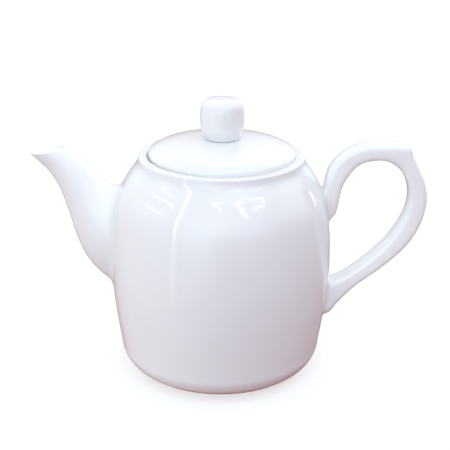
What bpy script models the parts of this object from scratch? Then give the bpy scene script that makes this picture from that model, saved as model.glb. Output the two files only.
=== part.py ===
"""A white porcelain teapot, about 0.8 litre.

A turned pot with a seat for an inset lid, a hollow spout over a pierced strainer, an ear-shaped handle
with a thumb spur, and a domed lid with a round knob. The spout points to -X and the handle to +X.
The origin is on the table, under the middle of the whole pot from spout lip to handle. Lengths in the
tables are millimetres, and radii are taken from the pot's own upright axis.
"""

import math

import bmesh
import bpy
import numpy as np
from mathutils import Matrix

MM = 0.001

# ---------------------------------------------------------------- driving dimensions, millimetres
AXIS_X = -4.1  # the pot's axis, which the long handle pushes away from the middle of the whole object
TURNED_STEPS = 48  # facets round every turned piece
ROD_SIDES = 12  # facets round every drilled hole
JOINT_GAP = 0.3  # between pieces that are luted together or rest on each other

BELLY_SIDE = (  # outside of the pot (radius, height), from under the rim to the foot corner
    (43.9, 112.3), (49.0, 105.0), (54.1, 95.0), (56.9, 80.0),
    (58.0, 61.0), (57.4, 46.0), (55.8, 31.0), (53.6, 16.0),
)
BELLY_RADIUS = 58.0
RIM_TOP = 116.9
RIM_RADIUS = 42.8
RIM_ROUND = 1.0
RIM_BEAD = 2.9  # height of the upright bead round the rim
RIM_BEAD_FLARE = 0.25
FOOT_CORNER = 16.0  # radius of the round between the side and the foot
FOOT_CORNER_END = -62.0  # degrees: where that round stops, above the foot ring
FOOT_OUTER = 42.2
FOOT_INNER = 37.4
FOOT_ROUND = 0.8
FOOT_HEIGHT = 1.9
FOOT_DRAFT = 0.5  # how far each side of the foot ring leans out on its way up
UNDERSIDE = 3.2  # height of the recessed underside inside the foot ring
FLOOR = 7.6

INSIDE = (  # inside of the wall (radius, height), from the floor's round up to the throat
    (49.9, 21.0), (52.0, 34.0), (53.7, 56.0), (53.0, 75.0), (50.2, 92.0), (45.6, 101.0), (39.5, 107.0),
)
FLOOR_ROUND = 11.0
FLOOR_ROUND_END = -10.0  # degrees: where that round meets the leaning wall
THROAT_RADIUS = 32.6
THROAT_LOW = 110.3
THROAT_BEVEL = (2.0, 1.0)  # outwards and down, under the throat
SEAT = 115.4  # height of the ledge that carries the lid
GALLERY_RADIUS = 38.4
GALLERY_ROUND = 0.5

LID_SHIFT = 0.4  # the lid lies this far towards the handle in its loose seat
LID_RADIUS = 37.7
LID_EDGE_TOP = 118.4  # where the dome's shoulder meets the upright edge
LID_CROWN = 125.9  # height that the dome would reach at its middle
LID_FULLNESS = 1.8  # power of the dome: 2 is an ellipse, and less is more pointed
LID_FLAT = 8.6  # radius of the flat that carries the knob
LID_THICK = 4.2
LID_CHAMFER = 0.6  # round the lower edge, which rests on the seat
SKIRT_OUTER = 31.3
SKIRT_INNER = 28.0
SKIRT_LOW = 103.0
VENT_RADIUS = 1.6
VENT_FROM_AXIS = 20.0  # behind the knob
VENT_CUT = 30.0  # length of the cutter

KNOB_SIDE = (  # outside of the knob (radius, height), top to bottom
    (8.6, 145.6), (10.4, 143.8), (11.3, 138.2), (10.8, 131.5), (9.6, 128.4), (8.2, 125.95),
)
KNOB_TOP = 146.3
KNOB_CROWN = (5.0, 146.15)

# Spout stations, from the hidden root to the mouth: reach and height of the lower edge, reach and
# height of the upper edge, then half the width. Reach is the distance from the pot's axis.
SPOUT_STATIONS = (
    (47.0, 41.5, 43.0, 94.8, 16.4),
    (58.2, 47.2, 52.8, 98.0, 15.6),
    (65.7, 53.4, 55.7, 99.3, 14.2),
    (72.0, 62.1, 58.7, 101.0, 12.7),
    (76.2, 72.8, 62.0, 104.0, 11.2),
    (79.3, 84.2, 65.6, 108.2, 9.9),
    (82.3, 94.3, 69.6, 112.7, 8.9),
    (85.7, 102.3, 73.4, 116.6, 8.0),
    (89.7, 108.3, 76.7, 119.7, 7.3),
    (94.2, 113.0, 78.7, 121.0, 6.9),
    (99.1, 117.6, 79.5, 121.2, 6.6),
)
SPOUT_WALL_ROOT = 3.4
SPOUT_WALL_MOUTH = 2.2
SPOUT_SIDES = 28
STRAINER_HOLE = 2.6  # radius
STRAINER_PITCH = 8.5
STRAINER_HEIGHT = 70.0
STRAINER_CUT = 16.0  # length of the cutters, several times the wall

# Handle stations, from the hidden upper root over the thumb spur to the hidden lower root: reach and
# height of the outer edge, reach and height of the inner edge, then half the width.
HANDLE_STATIONS = (
    (46.0, 79.5, 55.4, 80.4, 3.6),
    (49.0, 85.0, 59.8, 85.0, 5.2),
    (51.0, 91.5, 61.3, 91.0, 5.7),
    (53.3, 99.7, 62.7, 99.5, 5.8),
    (56.1, 110.9, 66.3, 106.7, 5.8),
    (63.5, 119.2, 71.4, 112.4, 5.8),
    (74.0, 123.6, 78.0, 114.6, 5.8),
    (84.5, 124.0, 84.8, 114.5, 5.8),
    (93.6, 124.0, 90.2, 111.8, 5.8),
    (96.9, 122.7, 92.1, 110.1, 5.7),
    (98.2, 118.9, 93.8, 107.9, 5.7),
    (101.5, 112.0, 96.0, 103.6, 5.8),
    (105.4, 104.0, 97.3, 98.4, 5.8),
    (107.4, 94.0, 97.2, 92.0, 5.8),
    (105.5, 81.8, 94.5, 83.0, 5.8),
    (98.4, 68.2, 87.2, 70.9, 5.8),
    (85.8, 55.5, 76.2, 59.7, 5.8),
    (72.1, 44.4, 65.3, 51.2, 5.9),
    (62.8, 34.2, 58.0, 48.2, 6.0),
    (58.9, 28.9, 53.0, 47.0, 6.2),
    (50.0, 26.8, 45.0, 45.0, 6.2),
)
HANDLE_SIDES = 16
OVAL = 3.0  # power of the handle's section: 2 is an ellipse, and more is squarer

GLAZE_COLOUR = (0.90, 0.90, 0.92, 1.0)
GLAZE_ROUGHNESS = 0.12


# ---------------------------------------------------------------- outlines
def arc(centre, radius, start, end, steps):
    """Points on an arc in the (radius, height) plane, with angles in degrees from outwards."""
    angles = np.radians(np.linspace(start, end, steps + 1))
    return [(centre[0] + radius * math.cos(a), centre[1] + radius * math.sin(a)) for a in angles]


def curve_through(rows, per_span):
    """A smooth curve through every row of numbers, as a centripetal Catmull-Rom spline."""
    rows = np.array(rows, float)
    rows = np.vstack([2 * rows[0] - rows[1], rows, 2 * rows[-1] - rows[-2]])
    out = []
    for four in zip(rows, rows[1:], rows[2:], rows[3:]):
        spans = [math.sqrt(np.linalg.norm(q - p)) for p, q in zip(four, four[1:])]
        knots = np.cumsum([0.0] + spans)
        for t in np.linspace(knots[1], knots[2], per_span, endpoint=False):
            first = [mix(four[i], four[i + 1], t, knots[i], knots[i + 1]) for i in range(3)]
            second = [mix(first[i], first[i + 1], t, knots[i], knots[i + 2]) for i in range(2)]
            out.append(mix(second[0], second[1], t, knots[1], knots[2]))
    out.append(rows[-2])
    return out


def mix(p, q, t, start, end):
    """The point on the line from p, at start, to q, at end."""
    return p + (q - p) * (t - start) / (end - start)


def pot_outline():
    """The pot's section (radius, height): up the inside from the floor, over the rim, down the outside."""
    floor_radius = INSIDE[0][0] - 1.1 * FLOOR_ROUND
    floor = [(0.0, FLOOR)]
    floor += arc((floor_radius, FLOOR + FLOOR_ROUND), FLOOR_ROUND, -90, FLOOR_ROUND_END, 4)
    wall = curve_through(INSIDE, 1)
    throat = [(THROAT_RADIUS + THROAT_BEVEL[0], THROAT_LOW - THROAT_BEVEL[1]), (THROAT_RADIUS, THROAT_LOW)]
    seat = [(THROAT_RADIUS, SEAT), (GALLERY_RADIUS, SEAT)]
    rim = arc((GALLERY_RADIUS + GALLERY_ROUND, RIM_TOP - GALLERY_ROUND), GALLERY_ROUND, 180, 90, 2)
    rim += arc((RIM_RADIUS - RIM_ROUND, RIM_TOP - RIM_ROUND), RIM_ROUND, 90, 0, 3)
    rim += [(RIM_RADIUS + RIM_BEAD_FLARE, RIM_TOP - RIM_BEAD)]
    side = curve_through(BELLY_SIDE, 2)
    corner_radius = BELLY_SIDE[-1][0] - FOOT_CORNER
    corner = arc((corner_radius, FOOT_CORNER), FOOT_CORNER, 0, FOOT_CORNER_END, 6)[1:]
    foot = [(FOOT_OUTER + FOOT_DRAFT, FOOT_HEIGHT)]
    foot += arc((FOOT_OUTER - FOOT_ROUND, FOOT_ROUND), FOOT_ROUND, 0, -90, 2)
    foot += arc((FOOT_INNER + FOOT_ROUND, FOOT_ROUND), FOOT_ROUND, -90, -180, 2)
    under = [(FOOT_INNER - FOOT_DRAFT, UNDERSIDE), (0.0, UNDERSIDE)]
    return floor + wall + throat + seat + rim + side + corner + foot + under


def envelope_outline():
    """A solid a joint gap larger than the pot's outside, which trims what is luted onto the pot."""
    side = [(r + JOINT_GAP, z) for r, z in curve_through(BELLY_SIDE, 2)]
    return [(0.0, side[0][1])] + side + [(0.0, side[-1][1])]


def dome_height(radius):
    """The lid's upper surface: flat under the knob, then falling ever more steeply to the edge."""
    share = max(radius, LID_FLAT) / LID_RADIUS
    return LID_EDGE_TOP + (LID_CROWN - LID_EDGE_TOP) * math.sqrt(1 - share**LID_FULLNESS)


def lid_outline():
    """The lid's section (radius, height): the top from the centre to the edge, then the underside."""
    start = math.asin((LID_FLAT / LID_RADIUS) ** (LID_FULLNESS / 2))
    radii = [LID_RADIUS * math.sin(t) ** (2 / LID_FULLNESS) for t in np.linspace(start, math.pi / 2, 10)]
    crest = [(0.0, dome_height(0.0))] + [(r, dome_height(r)) for r in radii]
    underside = SEAT + JOINT_GAP
    flange = [(LID_RADIUS, underside + LID_CHAMFER), (LID_RADIUS - LID_CHAMFER, underside)]
    flange += [(SKIRT_OUTER, underside)]
    half = (SKIRT_OUTER - SKIRT_INNER) / 2
    skirt = arc((SKIRT_INNER + half, SKIRT_LOW + half), half, 0, -180, 4)
    inside = [(r, dome_height(r) - LID_THICK) for r in np.linspace(SKIRT_INNER, 0.0, 6)]
    return crest + flange + skirt + inside


def knob_outline():
    """The knob's section (radius, height), from its top down to the flat that it stands on."""
    return [(0.0, KNOB_TOP), KNOB_CROWN] + curve_through(KNOB_SIDE, 2) + [(0.0, KNOB_SIDE[-1][1])]


# ---------------------------------------------------------------- objects
def clear_scene():
    for obj in list(bpy.data.objects):
        bpy.data.objects.remove(obj, do_unlink=True)


def glaze(name):
    """A sub-part's own white glaze."""
    material = bpy.data.materials.new(name)
    material.use_nodes = True
    shader = material.node_tree.nodes["Principled BSDF"]
    shader.inputs["Base Color"].default_value = GLAZE_COLOUR
    shader.inputs["Roughness"].default_value = GLAZE_ROUGHNESS
    shader.inputs["Metallic"].default_value = 0.0
    return material


def place(name, mesh, material=None, parent=None):
    """An object on the pot's axis, or on its parent's."""
    obj = bpy.data.objects.new(name, mesh)
    bpy.context.scene.collection.objects.link(obj)
    obj.parent = parent
    if not parent:
        obj.location = (AXIS_X * MM, 0.0, 0.0)
    if material:
        mesh.materials.append(material)
        mesh.shade_smooth()
    return obj


def as_cutter(obj):
    """Marks an object that only trims others, and is no part of the teapot."""
    obj.hide_render = True
    obj.display_type = "WIRE"
    return obj


def turned(name, outline, material=None, parent=None):
    """An outline of (radius, height) turned about the object's own upright axis by a Screw modifier."""
    mesh = bpy.data.meshes.new(name)
    points = [(r * MM, 0.0, z * MM) for r, z in outline]
    mesh.from_pydata(points, [(i, i + 1) for i in range(len(points) - 1)], [])
    obj = place(name, mesh, material, parent)
    screw = obj.modifiers.new("Turn", "SCREW")
    screw.angle = math.tau
    screw.steps = screw.render_steps = TURNED_STEPS
    screw.use_merge_vertices = True
    screw.merge_threshold = 0.01 * MM
    return obj


def section(station, sides, towards, power=2.0, inset=0.0):
    """A ring of points: an oval between a station's two edges, drawn in by inset all round."""
    first = np.array([station[0], station[1]])
    second = np.array([station[2], station[3]])
    middle, reach = (first + second) / 2, (first - second) / 2
    reach *= 1 - inset / np.linalg.norm(reach)
    half_width = station[4] - inset
    ring = []
    for turn in np.linspace(0, math.tau, sides, endpoint=False):
        along = math.copysign(abs(math.cos(turn)) ** (2 / power), math.cos(turn))
        across = math.copysign(abs(math.sin(turn)) ** (2 / power), math.sin(turn))
        flat = middle + reach * along
        ring.append((towards * flat[0] * MM, half_width * across * MM, flat[1] * MM))
    return ring


def lofted(name, rings, material, hollow):
    """A closed tube through rings of points: joined end to start if hollow, capped at its ends if not."""
    mesh = bpy.data.meshes.new(name)
    shape = bmesh.new()
    rows = [[shape.verts.new(point) for point in ring] for ring in rings]
    sides = len(rows[0])
    pairs = list(zip(rows, rows[1:])) + ([(rows[-1], rows[0])] if hollow else [])
    for a, b in pairs:
        for i in range(sides):
            shape.faces.new((a[i], a[(i + 1) % sides], b[(i + 1) % sides], b[i]))
    if not hollow:
        shape.faces.new(rows[0])
        shape.faces.new(rows[-1])
    bmesh.ops.recalc_face_normals(shape, faces=shape.faces)
    shape.to_mesh(mesh)
    shape.free()
    return place(name, mesh, material)


def cut(obj, cutter):
    """Takes a cutter's volume out of an object."""
    boolean = obj.modifiers.new("Cut " + cutter.name, "BOOLEAN")
    boolean.operation = "DIFFERENCE"
    boolean.solver = "EXACT"
    boolean.object = cutter


def rods(name, centres, radius, length, along_x=False, parent=None):
    """Round cutters of one radius, centred on each point (millimetres), upright or lying along X."""
    mesh = bpy.data.meshes.new(name)
    shape = bmesh.new()
    turn = Matrix.Rotation(math.radians(90 if along_x else 0), 4, "Y")
    for centre in centres:
        stand = Matrix.Translation([value * MM for value in centre])
        bmesh.ops.create_cone(
            shape, cap_ends=True, segments=ROD_SIDES, depth=length * MM,
            radius1=radius * MM, radius2=radius * MM, matrix=stand @ turn,
        )
    shape.to_mesh(mesh)
    shape.free()
    return as_cutter(place(name, mesh, parent=parent))


# ---------------------------------------------------------------- the teapot's pieces
def make_pot_body():
    """The pot, pierced behind the spout by a rosette of seven strainer holes."""
    body = turned("pot_body", pot_outline(), glaze("Pot glaze"))
    centres = [(-BELLY_RADIUS, 0.0, STRAINER_HEIGHT)]
    for k in range(6):
        angle = math.radians(60 * k + 30)
        side, up = STRAINER_PITCH * math.cos(angle), STRAINER_PITCH * math.sin(angle)
        centres.append((-BELLY_RADIUS, side, STRAINER_HEIGHT + up))
    cut(body, rods("strainer_cutter", centres, STRAINER_HOLE, STRAINER_CUT, along_x=True))


def make_spout(envelope):
    """A hollow tapering spout, wide and tall at its root, with its mouth cut almost level."""
    stations = curve_through(SPOUT_STATIONS, 2)
    outer = [section(s, SPOUT_SIDES, -1) for s in stations]
    walls = np.linspace(SPOUT_WALL_ROOT, SPOUT_WALL_MOUTH, len(stations))
    inner = [section(s, SPOUT_SIDES, -1, inset=w) for s, w in zip(stations, walls)]
    cut(lofted("spout", outer + inner[::-1], glaze("Spout glaze"), hollow=True), envelope)


def make_handle(envelope):
    """A solid ear-shaped handle, oval across, with a thumb spur at its upper corner."""
    rings = [section(s, HANDLE_SIDES, 1, OVAL) for s in curve_through(HANDLE_STATIONS, 2)]
    cut(lofted("handle", rings, glaze("Handle glaze"), hollow=False), envelope)


def make_lid(carrier):
    """A domed lid with a skirt that drops into the throat, and a steam vent behind the knob."""
    lid = turned("lid", lid_outline(), glaze("Lid glaze"), carrier)
    cut(lid, rods("vent_cutter", [(0.0, VENT_FROM_AXIS, LID_CROWN)], VENT_RADIUS, VENT_CUT, parent=carrier))


def make_knob(carrier):
    """The round knob in the middle of the lid."""
    turned("lid_knob", knob_outline(), glaze("Knob glaze"), carrier)


def main():
    clear_scene()
    envelope = as_cutter(turned("pot_envelope", envelope_outline()))
    make_pot_body()
    make_spout(envelope)
    make_handle(envelope)
    carrier = bpy.data.objects.new("lid_lift", None)
    carrier.location = ((AXIS_X + LID_SHIFT) * MM, 0.0, 0.0)
    bpy.context.scene.collection.objects.link(carrier)
    make_lid(carrier)
    make_knob(carrier)


main()
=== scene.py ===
"""The looks of a white porcelain teapot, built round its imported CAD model.

Each CAD piece is replaced by a finer mesh of the same size: turned pot, lid and knob, a lofted spout and
handle whose roots flare onto the pot as luted joints do, and rounded lips and edges. Lengths in the tables
are millimetres, radii are taken from the piece's own upright axis, and everything is made in metres.
"""

import math

import bmesh
import bpy
import numpy as np
from mathutils import Matrix, Vector, noise
from mathutils.kdtree import KDTree


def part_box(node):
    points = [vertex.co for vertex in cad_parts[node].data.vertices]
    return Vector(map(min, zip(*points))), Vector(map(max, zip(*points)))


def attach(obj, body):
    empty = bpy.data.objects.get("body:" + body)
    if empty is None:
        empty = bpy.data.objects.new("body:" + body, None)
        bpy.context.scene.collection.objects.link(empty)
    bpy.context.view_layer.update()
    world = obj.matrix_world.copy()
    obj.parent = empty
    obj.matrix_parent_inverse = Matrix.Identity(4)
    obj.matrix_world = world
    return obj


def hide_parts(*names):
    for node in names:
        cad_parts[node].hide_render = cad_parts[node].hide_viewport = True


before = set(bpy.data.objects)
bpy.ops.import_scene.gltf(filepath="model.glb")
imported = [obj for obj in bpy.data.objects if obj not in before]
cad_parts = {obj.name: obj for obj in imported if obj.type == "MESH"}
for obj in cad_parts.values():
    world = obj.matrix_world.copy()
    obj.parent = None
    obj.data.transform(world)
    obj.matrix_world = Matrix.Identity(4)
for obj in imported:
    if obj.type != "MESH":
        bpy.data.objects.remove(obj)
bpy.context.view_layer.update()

MM = 0.001
LID_GROW = 0.2  # the glaze on the lid's edge, which fills a little of the gap round it
LID_SLIP = 0.2  # how far the loose lid lies towards the front in its seat


# ================================================================ the frame's own measures
def axis_of(node):
    """The upright axis (x, y) of a round node, in metres."""
    low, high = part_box(node)
    return (low[0] + high[0]) / 2, (low[1] + high[1]) / 2


POT_X, POT_Y = axis_of("pot_body")
LID_X, LID_Y = axis_of("lid")
LID_Y -= LID_SLIP * MM
BELLY = (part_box("pot_body")[1][0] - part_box("pot_body")[0][0]) / 2 / MM
RIM_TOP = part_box("pot_body")[1][2] / MM
LID_RADIUS = (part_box("lid")[1][0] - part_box("lid")[0][0]) / 2 / MM + LID_GROW
SKIRT_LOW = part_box("lid")[0][2] / MM
KNOB_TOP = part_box("lid_knob")[1][2] / MM
KNOB_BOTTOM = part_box("lid_knob")[0][2] / MM

# ================================================================ shapes, millimetres
TURNED_STEPS = 240
SMALLEST_STEP = 0.05  # points of an outline that are closer than this are merged
# Rings in the plain parts of the outlines, then steps from row to row of the tables.
FLOOR_RINGS = 12
UNDERSIDE_RINGS = 10
CROWN_RINGS = 5
DOME_RINGS = 90
SKIRT_RINGS = 4
LID_INSIDE_RINGS = 20
INSIDE_STEPS = 8
SIDE_STEPS = 10
ROOT_SIDE_STEPS = 12
KNOB_STEPS = 8
TUBE_STEPS = 10
BELLY_SIDE = (  # radius and height, from the shoulder down
    (43.9, 112.3), (49.0, 105.0), (54.1, 95.0), (56.9, 80.0),
    (BELLY, 61.0), (57.4, 46.0), (55.8, 31.0), (53.6, 16.0),
)
RIM_RADIUS = 42.8
RIM_ROUND = 1.0
RIM_BEAD = 2.9
RIM_BEAD_FLARE = 0.25
RIM_BEAD_SHARES = (0.6, 1.0)  # how far down the bead its rings are
FOOT_CORNER = 16.0
FOOT_CORNER_END = -62.0
FOOT_OUTER = 42.2
FOOT_INNER = 37.4
FOOT_ROUND = 0.8
FOOT_HEIGHT = 1.9
FOOT_DRAFT = 0.5
FOOT_HOLLOW = 0.8  # radius of the small hollow where the side meets the foot ring
FOOT_HOLLOW_RISE = 0.3
UNDERSIDE = 3.2
UNDERSIDE_ROUND = 1.0
UNDERSIDE_MARGIN = 3.0  # how far in from the foot ring the underside's plain rings start
FLOOR = 7.6
INSIDE = (  # radius and height, from the floor up
    (49.9, 21.0), (52.0, 34.0), (53.7, 56.0), (53.0, 75.0), (50.2, 92.0), (45.6, 101.0), (39.5, 107.0),
)
FLOOR_ROUND = 11.0
FLOOR_ROUND_REACH = 1.1  # how far inside the wall the floor's round starts, in its own radii
THROAT_RADIUS = 32.6
THROAT_LOW = 110.3
THROAT_BEVEL = (2.0, 1.0)
THROAT_ROUND = 0.6
SEAT = 115.4
SEAT_CORNER = 0.5
GALLERY_RADIUS = 38.4
GALLERY_ROUND = 0.35

LID_EDGE_TOP = 118.0
LID_CROWN = 125.9
LID_FULLNESS = 1.8
LID_FLAT = 8.6
LID_THICK = 4.2
LID_SEAT = SEAT + 0.3
LID_EDGE_ROUND = 0.6
LID_INSIDE_ROUND = 2.0  # where the skirt meets the lid's underside
LID_INSIDE_MARGIN = 3.0
SKIRT_OUTER = 31.3
SKIRT_INNER = 28.0
SKIRT_CORNER = 0.6
SKIRT_STRAIGHT = 4.0  # height above the skirt's lower edge where its inside turns straight
LID_CREASE_RADIUS = 35.5  # where the dome meets the thin flange round it
LID_CREASE_DEPTH = 0.1
LID_CREASE_WIDTH = 0.55
VENT_RADIUS = 1.6
VENT_FROM_AXIS = 20.0
VENT_LENGTH = 30.0

KNOB_SIDE = (  # radius and height, from the top down
    (8.6, 145.6), (10.4, 143.8), (11.3, 138.2), (10.8, 131.5), (9.6, 128.4),
    (8.9, 127.0), (8.8, KNOB_BOTTOM),
)
KNOB_CROWN = ((0.0, KNOB_TOP), (2.5, KNOB_TOP - 0.02), (5.0, 146.15))
KNOB_BASE_RADII = (6.0, 3.0, 0.0)

# Each row of the next table is a ring of the spout, from the root to the mouth: how far out and how high its
# lower edge is, the same for its upper edge, and half its width.
SPOUT_STATIONS = (
    (47.0, 41.5, 43.0, 94.8, 16.4),
    (58.2, 47.2, 52.8, 98.0, 15.6),
    (65.7, 53.4, 55.7, 99.3, 14.2),
    (72.0, 62.1, 58.7, 101.0, 12.7),
    (76.2, 72.8, 62.0, 104.0, 11.2),
    (79.3, 84.2, 65.6, 108.2, 9.9),
    (82.3, 94.3, 69.6, 112.7, 8.9),
    (85.7, 102.3, 73.4, 116.6, 8.0),
    (89.7, 108.3, 76.7, 119.7, 7.3),
    (94.2, 113.0, 78.7, 121.0, 6.9),
    (99.1, 117.6, 79.5, 121.2, 6.6),
)
SPOUT_WALL_ROOT = 3.4
SPOUT_WALL_MOUTH = 2.2
SPOUT_SIDES = 96
SPOUT_FILLET = 4.5
LIP_BLEND = 3.0  # length over which the spout's rings close up to make room for its rounded lip
LIP_STEPS = 12
BORE_STEPS = 6
STRAINER_HOLE = 2.6
STRAINER_PITCH = 8.5
STRAINER_HEIGHT = 70.0
STRAINER_RING = 6  # holes round the middle one
STRAINER_TURN = 30  # degrees
STRAINER_LENGTH = 16.0
ROD_SIDES = 32

# The same for the handle, from its upper root to its lower one: the edge on the outside of the loop, then the
# edge on the finger's side.
HANDLE_STATIONS = (
    (46.0, 79.5, 55.4, 80.4, 3.6),
    (49.0, 85.0, 59.8, 85.0, 5.2),
    (51.0, 91.5, 61.3, 91.0, 5.7),
    (53.3, 99.7, 62.7, 99.5, 5.8),
    (56.1, 110.9, 66.3, 106.7, 5.8),
    (63.5, 119.2, 71.4, 112.4, 5.8),
    (74.0, 123.6, 78.0, 114.6, 5.8),
    (84.5, 124.0, 84.8, 114.5, 5.8),
    (93.6, 124.0, 90.2, 111.8, 5.8),
    (96.9, 122.7, 92.1, 110.1, 5.7),
    (98.2, 118.9, 93.8, 107.9, 5.7),
    (101.5, 112.0, 96.0, 103.6, 5.8),
    (105.4, 104.0, 97.3, 98.4, 5.8),
    (107.4, 94.0, 97.2, 92.0, 5.8),
    (105.5, 81.8, 94.5, 83.0, 5.8),
    (98.4, 68.2, 87.2, 70.9, 5.8),
    (85.8, 55.5, 76.2, 59.7, 5.8),
    (72.1, 44.4, 65.3, 51.2, 5.9),
    (62.8, 34.2, 58.0, 48.2, 6.0),
    (58.9, 28.9, 53.0, 47.0, 6.2),
    (50.0, 26.8, 45.0, 45.0, 6.2),
)
HANDLE_SIDES = 64
HANDLE_FILLET = 2.2
HANDLE_OVAL = 3.5  # 2 is an ellipse, and more is squarer
ROOT_SUNK = 1.2  # how deep a root's hidden end lies in the pot's side
FLARE_STEPS = 12
FLARE_LAND = 2  # index, in rooted rings, of the one that lands on the pot's side
FLARE_HEM = 0.7  # how far past its landing the flare goes on, under the pot's surface
FLARE_HEM_DEPTH = 0.25
BRIDGE_STEPS = 6
WAVE_DEPTH = 0.10  # slight unevenness of a slip-cast surface
WAVE_SIZE = 26.0
WAVE_SEEDS = {"pot": 3.0, "spout": 5.0, "handle": 7.0, "lid": 11.0, "knob": 13.0}

# ================================================================ glaze
GLAZE = (0.875, 0.88, 0.895)
GLAZE_THIN = (0.88, 0.88, 0.885)
GLAZE_DEEP = (0.868, 0.876, 0.893)
# pooled glaze and painted shade: the creases, the roots and the knob's base darker and bluer
GLAZE_POOLED_AND_SHADED = (0.80, 0.83, 0.87)
# painted light: the spout's lip and bore painted whiter, as if lit through the thin wall
GLAZE_PAINTED_BORE_LIGHT = (0.97, 0.975, 0.98)
GLAZE_ROUGHNESS = 0.06
GLAZE_IOR = 1.5
COAT_WEIGHT = 0.5
COAT_ROUGHNESS = 0.02
COAT_IOR = 1.52
SUBSURFACE = 0.12
SUBSURFACE_RADIUS = (1.0, 0.85, 0.7)
SUBSURFACE_SCALE = 1.2
PEEL_DEPTH = 0.0012
SWELL_DEPTH = 0.006
PIT_DEPTH = 0.02
SPECK_SPACING = 6.0
SPECK_SIZE = 0.16
SPECK_COLOUR = (0.33, 0.25, 0.18)
BARE_CLAY = (0.80, 0.775, 0.735)
BARE_ROUGHNESS = 0.75
BARE_DEPTH = 0.03
RAGGED = 0.5  # how uneven the edge of the bare clay is
# Noises: the size of their blotches in millimetres, detail, roughness and distortion.
RAGGED_NOISE = (3.0, 3.0)
CLOUD_NOISE = (38.0, 3.0)
MOTTLE_NOISE = (4.0, 4.0, 0.6)
SPECK_NOISE = (9.0, 1.0)
GRAIN_NOISE = (0.35, 3.0, 0.7)
SMEAR_NOISE = (14.0, 4.0, 0.6, 0.4)
PEEL_NOISE = (2.6, 1.0)
SWELL_NOISE = (9.0, 1.0)
# Spreads: the range that is taken from a value, and the range that it becomes.
BARE_SPREAD = (0.7, 0.8, 0.0, 1.0)
CLOUD_SPREAD = (0.3, 0.7, 0.0, 0.5)
MOTTLE_SPREAD = (0.35, 0.7, 0.0, 0.35)
SPECK_SPREAD = (SPECK_SIZE / SPECK_SPACING * 0.5, SPECK_SIZE / SPECK_SPACING, 1.0, 0.0)
CHOSEN_SPREAD = (0.6, 0.64, 0.0, 0.7)
GRAIN_SPREAD = (0.3, 0.7, 0.0, 1.0)
CLAY_SPREAD = (0.0, 1.0, 0.75, 1.0)
SMEAR_SPREAD = (0.35, 0.75, GLAZE_ROUGHNESS, GLAZE_ROUGHNESS * 2.0)

# Where the clay is bare, in millimetres: the foot ring's edge, which is wiped free of glaze, and the seat and
# the lid's edge, which rest on each other in the kiln.
BARE_FOOT = 0.9
BARE_FOOT_MARGIN = 1.0
BARE_SEAT = 0.6
BARE_SEAT_MARGIN = 0.3
BARE_THROAT_MARGIN = 0.1
BARE_REST = (-1.0, 0.4)  # below and above the lid's resting edge
BARE_REST_MARGIN = 0.2
# Bands where the glaze pools and painted shade darkens the creases: how much, then the middle and the
# width, by height on the pot and by radius on the lid.
POT_POOL_AND_SHADE_BANDS = ((0.4, RIM_TOP - RIM_BEAD - 1.2, 1.6), (0.7, FOOT_HEIGHT + 0.5, 1.2))
LID_POOL_AND_SHADE_BANDS = ((0.25, LID_CREASE_RADIUS, 0.7), (1.0, 9.2, 1.6), (0.8, 8.2, 1.5))
LID_TOP_DEPTH = 12.0
OUTSIDE_MARGIN = 1.0
POOL_AND_SHADE_REACH = 1.6  # how far from a root the pooled glaze and painted shade reach
# how strong the pooled glaze and painted shade are round the roots, on the pot and on the root itself
POOL_AND_SHADE_ON_POT = 0.6
POOL_AND_SHADE_ON_ROOT = 0.5
# how far up from the knob's base the pooled glaze and painted shade reach
KNOB_POOL_AND_SHADE_REACH = 1.5

# ================================================================ camera, millimetres and degrees
CAMERA_BACK = 517.4
CAMERA_UP = 274.3
AIM_RIGHT = 2.2
AIM_UP = 77.9
CAMERA_ROLL = 0.47
LENS = 83.8
SENSOR = 36.0
CLIP = (0.01, 100.0)  # metres

# ================================================================ studio
FLOOR_RADIUS = 12.0  # metres
FLOOR_SIDES = 96
FLOOR_SEEN = (0.50, 0.52, 0.53)
FLOOR_LIFT = (0.54, 0.54, 0.54)
BACKDROP = (1.0, 1.0, 1.0)
AMBIENT = (0.118, 0.01, 0.003)  # radiance from everywhere
CEILING = (0.40, 0.43, 0.36)
LEFT_WALL = (0.76, 0.86, 0.91)  # on the spout's side
GROUND_GLOW = (0.145, 0.02, 0.005)  # warm light from a wooden table below
WIDE_LIGHTS = (((0, 0, 1), CEILING), ((-1, 0, 0), LEFT_WALL), ((0, 0, -1), GROUND_GLOW))
# Large soft lights: azimuth from the camera's side, positive towards the handle, then elevation, both in
# degrees, then how tight the light is, and its radiance.
SOFT_LIGHTS = {
    "window in front": (-3, 22, 14, (1.28, 1.27, 1.22)),
    "low front left": (-23, 8, 14, (0.70, 1.22, 1.50)),
    "front right": (32, 18, 14, (0.76, 0.90, 1.28)),
    "overhead": (37, 63, 14, (1.00, 1.46, 1.60)),
    "right": (102, 35, 14, (0.55, 0.88, 1.05)),
    "back right": (135, 25, 3.2, (0.92, 0.88, 0.94)),
    "low back right": (147, 1, 14, (0.27, 0.65, 0.80)),
    "back left": (-140, 21, 14, (0.40, 0.66, 0.90)),
    "behind": (180, 36, 8, (0.35, 0.39, 0.42)),
}
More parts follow.
